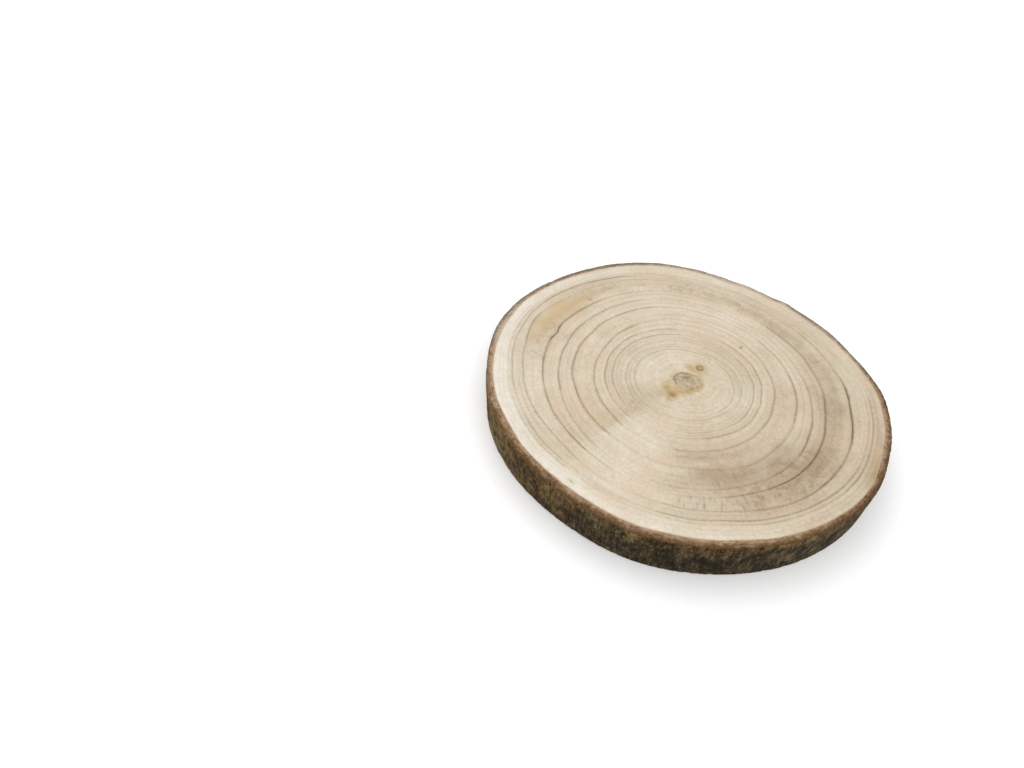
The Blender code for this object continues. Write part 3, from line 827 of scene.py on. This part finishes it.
def woodMaterial():
    material, tree, shader = newMaterial("sawnWood")
    place = addNode(tree, "ShaderNodeTexCoord").outputs["Object"]
    polar = addNode(tree, "ShaderNodeAttribute", attribute_name="polar").outputs["Vector"]
    mark = readMarks(tree, "tone", "lineDark", "lateWood", "earlyWood", "split", "checks", "mottled",
                     "ochre", "tan", "specks", "pith", "pithLine", "underBark")
    clouds = drift(tree, place, 34.0, 150.0, 0.5)
    mottle = drift(tree, place, 380.0, 900.0, 0.7)
    fibres = drift(tree, place, 900.0, 2400.0, 0.7)
    bands = drift(tree, stretch(tree, polar, (1.6, 1.6, 2.6)), 1.0, 3.4, 0.9)
    rays = drift(tree, stretch(tree, polar, (95.0, 95.0, 0.8)), 1.0, 2.3, 0.7)
    tone = mark["tone"]
    for part, strength in ((clouds, 0.28), (mottle, 0.34), (fibres, 0.17), (bands, 0.15), (rays, 0.02)):
        tone = plus(tree, tone, times(tree, part, strength))
    blotches = drift(tree, place, 180.0, 460.0, 0.8)
    tone = plus(tree, tone, times(tree, rangeOf(tree, blotches, -0.24, 0.06, -0.24, 0.0), mark["mottled"]))
    colour = colourRamp(tree, tone, woodFinish["tones"])
    # the hue wanders a little too, rosy in some places and cooler in others
    hue = drift(tree, place, 26.0, 75.0, 0.8)
    colour = tint(tree, colour, rangeOf(tree, hue, 0.02, 0.26), woodFinish["rosy"], 0.34)
    colour = tint(tree, colour, rangeOf(tree, hue, -0.02, -0.26), woodFinish["cool"], 0.34)
    # late wood deepens towards each line, and pores pepper the early wood outside it
    colour = tint(tree, colour, mark["lateWood"], woodFinish["late"], 0.42)
    coverage = plus(tree, times(tree, mark["earlyWood"], 0.5), 0.10)
    pores = speckle(tree, place, 900.0, 0.34, coverage)
    colour = tint(tree, colour, pores, woodFinish["pore"], 0.30)
    # radial checks: short threads of noise along the rays, amid scuffed wood
    threads = noise(tree, stretch(tree, polar, (70.0, 70.0, 0.8)), 1.0, 2.0)
    thread = times(tree, rangeOf(tree, threads, 0.55, 0.72), mark["checks"])
    scuffs = times(tree, rangeOf(tree, mottle, -0.05, 0.25), mark["checks"])
    colour = tint(tree, colour, scuffs, woodFinish["scuff"], 0.30)
    colour = tint(tree, colour, thread, woodFinish["line"], 0.56)
    # a broad tan stain, and a denser ochre one round the pith, both patchy at their edges
    soft = calculate(tree, "MULTIPLY", mark["tan"], plus(tree, 1.0, times(tree, blotches, 1.2)), clamp=True)
    colour = tint(tree, colour, soft, woodFinish["tan"], 0.90)
    patchy = plus(tree, mark["ochre"], times(tree, drift(tree, place, 240.0, 620.0, 0.6), 0.60))
    stain = times(tree, rangeOf(tree, patchy, -0.02, 0.74), rangeOf(tree, mark["ochre"], 0.03, 0.30))
    stained = mixColour(tree, rangeOf(tree, patchy, 0.58, 1.15), linear(woodFinish["ochre"]),
                        linear(woodFinish["ochreCore"]))
    colour = mixColour(tree, times(tree, stain, 0.90), colour, stained)
    # the pith: a dull soft core, mottled and streaked with the stain, inside a darker skin
    core = mixColour(tree, rangeOf(tree, drift(tree, place, 330.0, 900.0, 0.8), -0.22, 0.26),
                     linear(woodFinish["pithDark"]), linear(woodFinish["pith"]))
    core = mixColour(tree, times(tree, stain, 0.6), core, stained)
    colour = mixColour(tree, times(tree, mark["pith"], 0.85), colour, core)
    skinBroken = plus(tree, 0.85, times(tree, drift(tree, place, 300.0, 800.0, 0.8), 1.3))
    skin = calculate(tree, "MULTIPLY", mark["pithLine"], skinBroken, clamp=True)
    colour = tint(tree, colour, skin, woodFinish["pithLine"], 0.85)
    # the ring lines, a little broken along their length, and the splits in some of them
    breaks = drift(tree, stretch(tree, polar, (24.0, 24.0, 1.0)), 1.0, 4.0, 0.9)
    broken = plus(tree, 1.0, times(tree, breaks, 0.9))
    line = calculate(tree, "MULTIPLY", mark["lineDark"], broken, clamp=True)
    colour = tint(tree, colour, line, woodFinish["line"], 0.76)
    opened = calculate(tree, "MULTIPLY", mark["split"], plus(tree, broken, 0.1), clamp=True)
    colour = tint(tree, colour, opened, woodFinish["split"], 0.95)
    colour = tint(tree, colour, mark["specks"], woodFinish["speck"])
    ragged = plus(tree, mark["underBark"], times(tree, blotches, 1.2))
    edge = times(tree, rangeOf(tree, ragged, 0.35, 1.05), mark["underBark"])
    colour = tint(tree, colour, edge, woodFinish["underBark"], 0.85)
    tree.links.new(colour, shader.inputs["Base Color"])
    tree.links.new(rangeOf(tree, fibres, -0.4, 0.4, 0.60, 0.78), shader.inputs["Roughness"])
    shader.inputs["Specular IOR Level"].default_value = 0.30
    height = plus(tree, times(tree, fibres, 0.6), times(tree, mottle, 0.5))
    height = plus(tree, height, times(tree, rays, 0.2))
    height = calculate(tree, "SUBTRACT", height, times(tree, pores, 0.8))
    height = calculate(tree, "SUBTRACT", height, times(tree, thread, 1.0))
    bump = addNode(tree, "ShaderNodeBump", {"Strength": 0.4, "Distance": 0.0003, "Height": height})
    tree.links.new(bump.outputs["Normal"], shader.inputs["Normal"])
    return material


barkFinish = {
    "wall": [  # from the darkest furrow to the palest crust
        (0.00, (20, 16, 9)), (0.28, (40, 32, 18)), (0.52, (59, 49, 31)),
        (0.76, (82, 70, 47)), (1.00, (112, 98, 72)),
    ],
    "warm": [  # the same where the bark is brown
        (0.00, (32, 23, 10)), (0.30, (58, 43, 20)),
        (0.60, (91, 71, 39)), (1.00, (128, 104, 67)),
    ],
    # near-black: the bark's own blotches, and painted shade deep in its furrows
    "blotchAndFurrowShade": (20, 15, 8),
    "lichen": (98, 90, 72),
    "rim": [  # from the wood outwards across a cut rim
        (0.00, (176, 150, 122)), (0.25, (162, 135, 107)), (0.50, (136, 110, 82)),
        (0.75, (110, 86, 60)), (1.00, (90, 68, 40)),
    ],
    "wornRim": [
        (0.00, (199, 187, 168)), (0.50, (161, 146, 125)), (1.00, (128, 115, 97)),
    ],
    "rust": (124, 88, 64),
}


def barkMaterial():
    material, tree, shader = newMaterial("bark")
    place = addNode(tree, "ShaderNodeTexCoord").outputs["Object"]
    polar = addNode(tree, "ShaderNodeAttribute", attribute_name="polar").outputs["Vector"]
    mark = readMarks(tree, "depth", "rim", "across", "worn", "warm", "rimToneAndPaintedShading")
    patches = drift(tree, place, 62.0, 190.0, 0.7)
    grain = drift(tree, place, 400.0, 1000.0, 1.0)
    streaks = drift(tree, stretch(tree, polar, (46.0, 46.0, 10.0)), 1.0, 2.9, 1.1)
    # painted shade: the wall is darker the deeper its relief
    tone = calculate(tree, "SUBTRACT", 0.66, times(tree, mark["depth"], 0.20))
    # painted shade and painted light on the wall: darker on one side and towards its foot, paler on another
    tone = calculate(tree, "SUBTRACT", tone, times(tree, mark["rimToneAndPaintedShading"], 0.10))
    for part, strength in ((patches, 1.00), (grain, 0.72), (streaks, 0.95)):
        tone = plus(tree, tone, times(tree, part, strength))
    wall = colourRamp(tree, tone, barkFinish["wall"])
    warmWall = colourRamp(tree, tone, barkFinish["warm"])
    warmth = plus(tree, mark["warm"], times(tree, plus(tree, patches, streaks), 0.30))
    wall = mixColour(tree, rangeOf(tree, warmth, 0.10, 0.95, 0.0, 0.95), wall, warmWall)
    # grey crust in upright patches, near-black blotches, and painted shade deep in the furrows
    crust = drift(tree, stretch(tree, polar, (17.0, 17.0, 7.0)), 1.0, 4.0, 0.8)
    wall = tint(tree, wall, rangeOf(tree, crust, 0.10, 0.34), barkFinish["lichen"], 0.55)
    blotches = drift(tree, place, 85.0, 300.0, 0.7)
    wall = tint(tree, wall, rangeOf(tree, blotches, 0.07, 0.22), barkFinish["blotchAndFurrowShade"], 0.80)
    wall = tint(tree, wall, rangeOf(tree, mark["depth"], 0.50, 0.95), barkFinish["blotchAndFurrowShade"], 0.80)
    # a cut rim is layered: noise drawn out round the trunk, with rusty flecks
    layers = drift(tree, stretch(tree, polar, (16.0, 16.0, 130.0)), 1.0, 3.0, 0.8)
    ragged = drift(tree, place, 130.0, 420.0, 0.9)
    fromWood = plus(tree, mark["across"], mark["rimToneAndPaintedShading"])
    for part, strength in ((layers, 1.10), (ragged, 1.05), (grain, 0.20)):
        fromWood = plus(tree, fromWood, times(tree, part, strength))
    rim = colourRamp(tree, fromWood, barkFinish["rim"])
    flecks = drift(tree, stretch(tree, polar, (30.0, 30.0, 110.0)), 1.0, 3.0, 0.9)
    rim = tint(tree, rim, rangeOf(tree, flecks, 0.04, 0.30), barkFinish["rust"], 0.45)
    wornRim = colourRamp(tree, fromWood, barkFinish["wornRim"])
    rim = mixColour(tree, times(tree, mark["worn"], 0.75), rim, wornRim)
    colour = mixColour(tree, rangeOf(tree, mark["rim"], 0.25, 0.75), wall, rim)
    tree.links.new(colour, shader.inputs["Base Color"])
    tree.links.new(rangeOf(tree, grain, -0.4, 0.4, 0.82, 0.98), shader.inputs["Roughness"])
    shader.inputs["Specular IOR Level"].default_value = 0.12
    height = plus(tree, grain, times(tree, streaks, rangeOf(tree, mark["rim"], 0.25, 0.75, 0.6, 0.0)))
    height = calculate(tree, "SUBTRACT", height, times(tree, blotches, 0.5))
    bump = addNode(tree, "ShaderNodeBump", {"Strength": 0.8, "Distance": 0.0010, "Height": height})
    tree.links.new(bump.outputs["Normal"], shader.inputs["Normal"])
    return material


wood = sawnWood()
wood.data.materials.append(woodMaterial())
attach(wood, "root")
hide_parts("wood_slice")
print("sawn wood made")

barkPiece = barkRing()
barkPiece.data.materials.append(barkMaterial())
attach(barkPiece, "root")
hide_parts("wood_slice")
print("bark made")


def makeStudio():
    side = studio["floorSide"] / 2.0
    corners = [(-side, -side, 0.0), (side, -side, 0.0), (side, side, 0.0), (-side, side, 0.0)]
    mesh = bpy.data.meshes.new("floor")
    mesh.from_pydata(corners, [], [(0, 1, 2, 3)])
    floor = bpy.data.objects.new("floor", mesh)
    bpy.context.scene.collection.objects.link(floor)
    material, tree, shader = newMaterial("paleFloor")
    shader.inputs["Base Color"].default_value = studio["floorColour"]
    shader.inputs["Roughness"].default_value = 0.9
    shader.inputs["Specular IOR Level"].default_value = 0.1
    mesh.materials.append(material)
    for number, (place, size, watts) in enumerate(studio["lights"]):
        lamp = bpy.data.lights.new(f"softBox{number}", "AREA")
        lamp.size = size
        lamp.energy = watts
        box = bpy.data.objects.new(f"softBox{number}", lamp)
        box.location = place
        x, y, z = place
        box.rotation_euler = (math.atan2(math.hypot(x, y), z), 0.0, math.atan2(x, -y))
        bpy.context.scene.collection.objects.link(box)
    world = bpy.data.worlds.new("studio")
    world.use_nodes = True
    sky = world.node_tree.nodes["Background"].inputs
    sky["Color"].default_value = (1.0, 1.0, 1.0, 1.0)
    sky["Strength"].default_value = studio["skyStrength"]
    bpy.context.scene.world = world
    bpy.context.scene.view_settings.view_transform = "Standard"


def makeCamera():
    lens = bpy.data.cameras.new("camera")
    lens.sensor_width = studio["sensorWidth"]
    lens.lens = studio["focalPixels"] / studio["pictureWidth"] * studio["sensorWidth"]
    lens.clip_start = 0.01
    camera = bpy.data.objects.new("camera", lens)
    x, y, z = studio["cameraPlace"]
    camera.location = (x - woodSection["middle"][0], y - woodSection["middle"][1], z)
    tilt = math.radians(90.0 - studio["cameraDown"])
    camera.rotation_euler = (tilt, 0.0, math.radians(studio["cameraTurn"]))
    bpy.context.scene.collection.objects.link(camera)
    bpy.context.scene.camera = camera


makeStudio()
makeCamera()
print("studio made")
